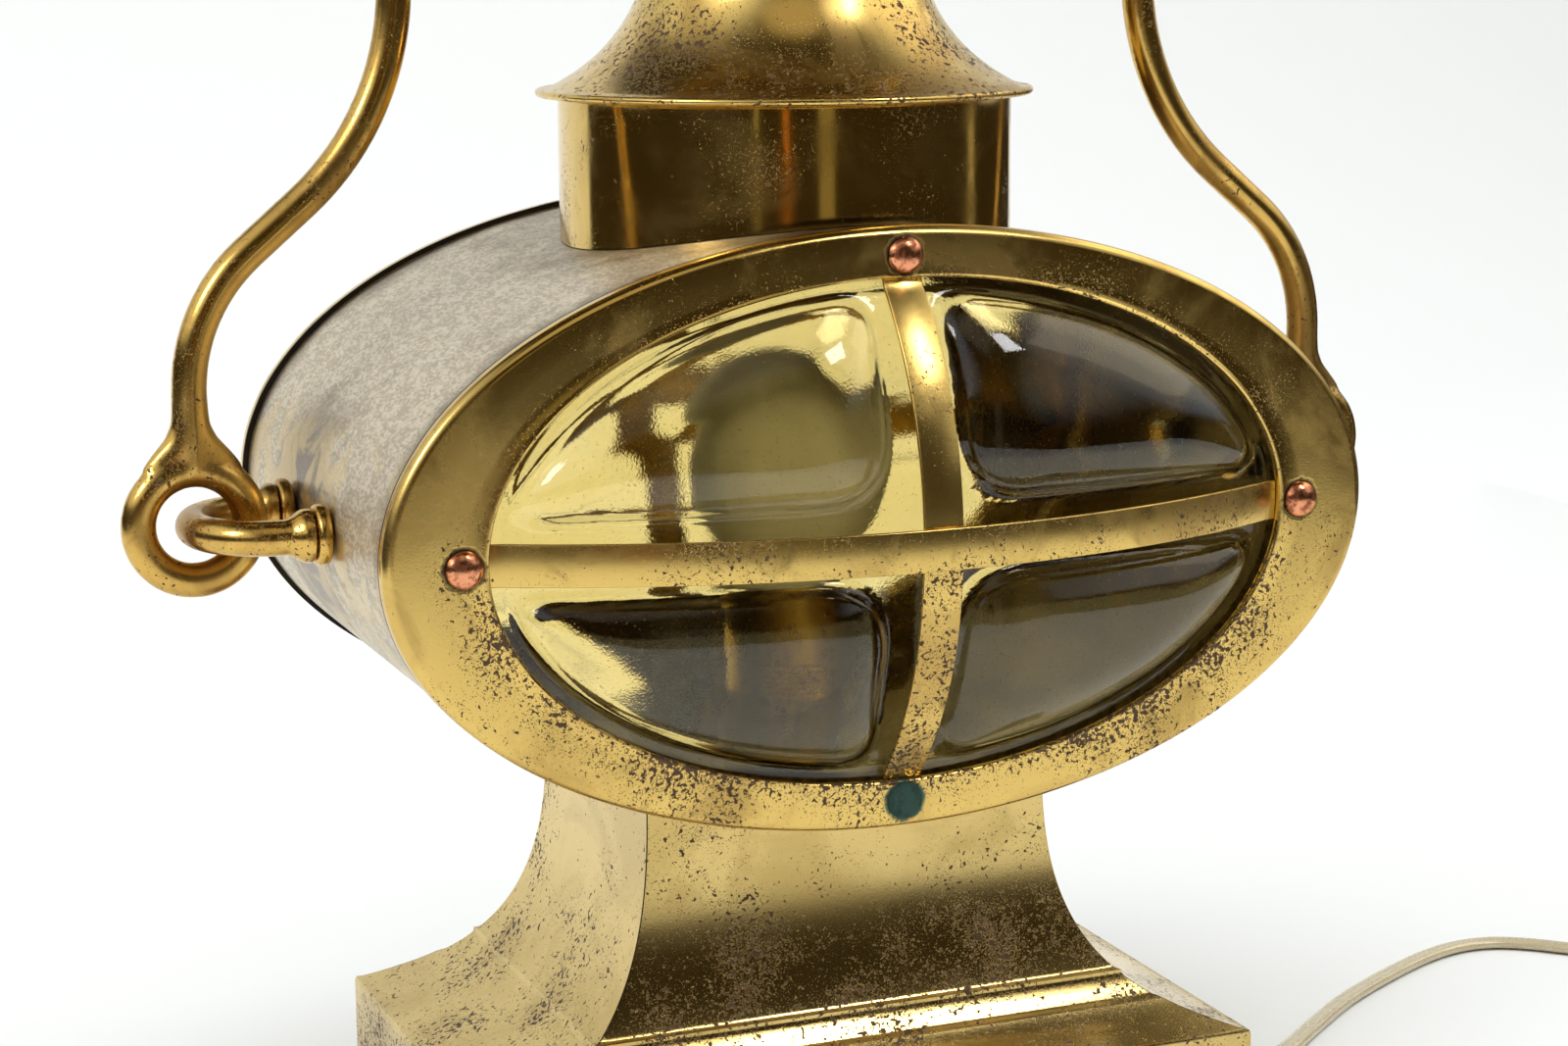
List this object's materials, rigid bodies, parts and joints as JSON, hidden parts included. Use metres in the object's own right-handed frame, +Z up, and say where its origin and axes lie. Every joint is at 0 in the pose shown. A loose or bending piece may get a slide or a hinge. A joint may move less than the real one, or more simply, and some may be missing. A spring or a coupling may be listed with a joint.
{
  "type": "ship lantern",
  "caption": "Elliptical brass ship lantern made into a table lamp, with a pressed lens and guard bars at each end, a lift-off hood, a swinging bail and a flared pedestal.",
  "frame": {"origin": "middle of the felt face under the pedestal", "axes": "+Z up through the pedestal and hood, Y along the drum with the front lens facing -Y, +X to the lantern's right where the cord leaves"},
  "size_m": [0.6267, 0.215, 0.46],
  "materials": {
    "brass": "satin polished brass with brown speckled tarnish",
    "worn_brass": "dull brushed brass sheet, worn greyish",
    "copper": "bright copper rivets",
    "verdigris": "copper rivet gone green",
    "steel": "zinc plated",
    "lens_glass": "amber tinted pressed glass",
    "bulb_glass": "frosted white glass",
    "putty": "dry glazing putty",
    "felt": "green felt",
    "porcelain": "glazed porcelain",
    "phenolic": "dark moulded phenolic",
    "cord_vinyl": "clear vinyl over gold strands"
  },
  "bodies": {
    "lantern": {"base_plate": "steel", "bulb": "bulb_glass", "chimney_collar": "brass", "coil_tie": "phenolic", "cord_bushing": "phenolic", "cord_coil": "cord_vinyl", "cord_lead": "cord_vinyl", "drum_shell": "worn_brass", "felt_pad": "felt", "front_bezel": "brass", "front_gasket": "putty", "front_guard_cross": "brass", "front_guard_upright": "brass", "front_lens": "lens_glass", "front_rivet_bottom": "verdigris", "front_rivet_left": "copper", "front_rivet_right": "copper", "front_rivet_top": "copper", "front_seat_ring": "brass", "inner_cord": "cord_vinyl", "lamp_pipe": "steel", "pedestal_front_panel": "brass", "pedestal_left_panel": "brass", "pedestal_rear_panel": "brass", "pedestal_right_panel": "brass", "pipe_lower_nut": "steel", "pipe_upper_nut": "steel", "plug_blade_left": "brass", "plug_blade_right": "brass", "plug_body": "cord_vinyl", "rear_bezel": "brass", "rear_gasket": "putty", "rear_guard_cross": "brass", "rear_guard_upright": "brass", "rear_lens": "lens_glass", "rear_rivet_bottom": "copper", "rear_rivet_left": "copper", "rear_rivet_right": "copper", "rear_rivet_top": "copper", "rear_seat_ring": "brass", "socket_cup": "brass", "socket_insert": "porcelain", "socket_shell": "brass", "staple_left": "brass", "staple_nut_left_front": "steel", "staple_nut_left_rear": "steel", "staple_nut_right_front": "steel", "staple_nut_right_rear": "steel", "staple_right": "brass", "staple_washer_left_front": "brass", "staple_washer_left_rear": "brass", "staple_washer_right_front": "brass", "staple_washer_right_rear": "brass"},
    "bail": {"bail_handle": "brass"},
    "hood": {"hood_skirt": "brass", "hood_spigot": "brass", "vent_ring": "brass", "chimney_cap": "brass", "cap_finial": "brass"},
    "knob": {"switch_knob": "phenolic"}
  },
  "joints": [
    {"name": "bail_swing", "type": "hinge", "parent": "lantern", "child": "bail", "pos_m": [0, 0, 0.1842], "axis": [1, 0, 0], "range_deg": [-40, 40]},
    {"name": "hood_lift", "type": "slide", "parent": "lantern", "child": "hood", "axis": [0, 0, 1], "range_m": [0, 0.04]},
    {"name": "switch_turn", "type": "hinge", "parent": "lantern", "child": "knob", "pos_m": [0.0213, 0, 0.1264], "axis": [1, 0, 0], "continuous": true}
  ]
}
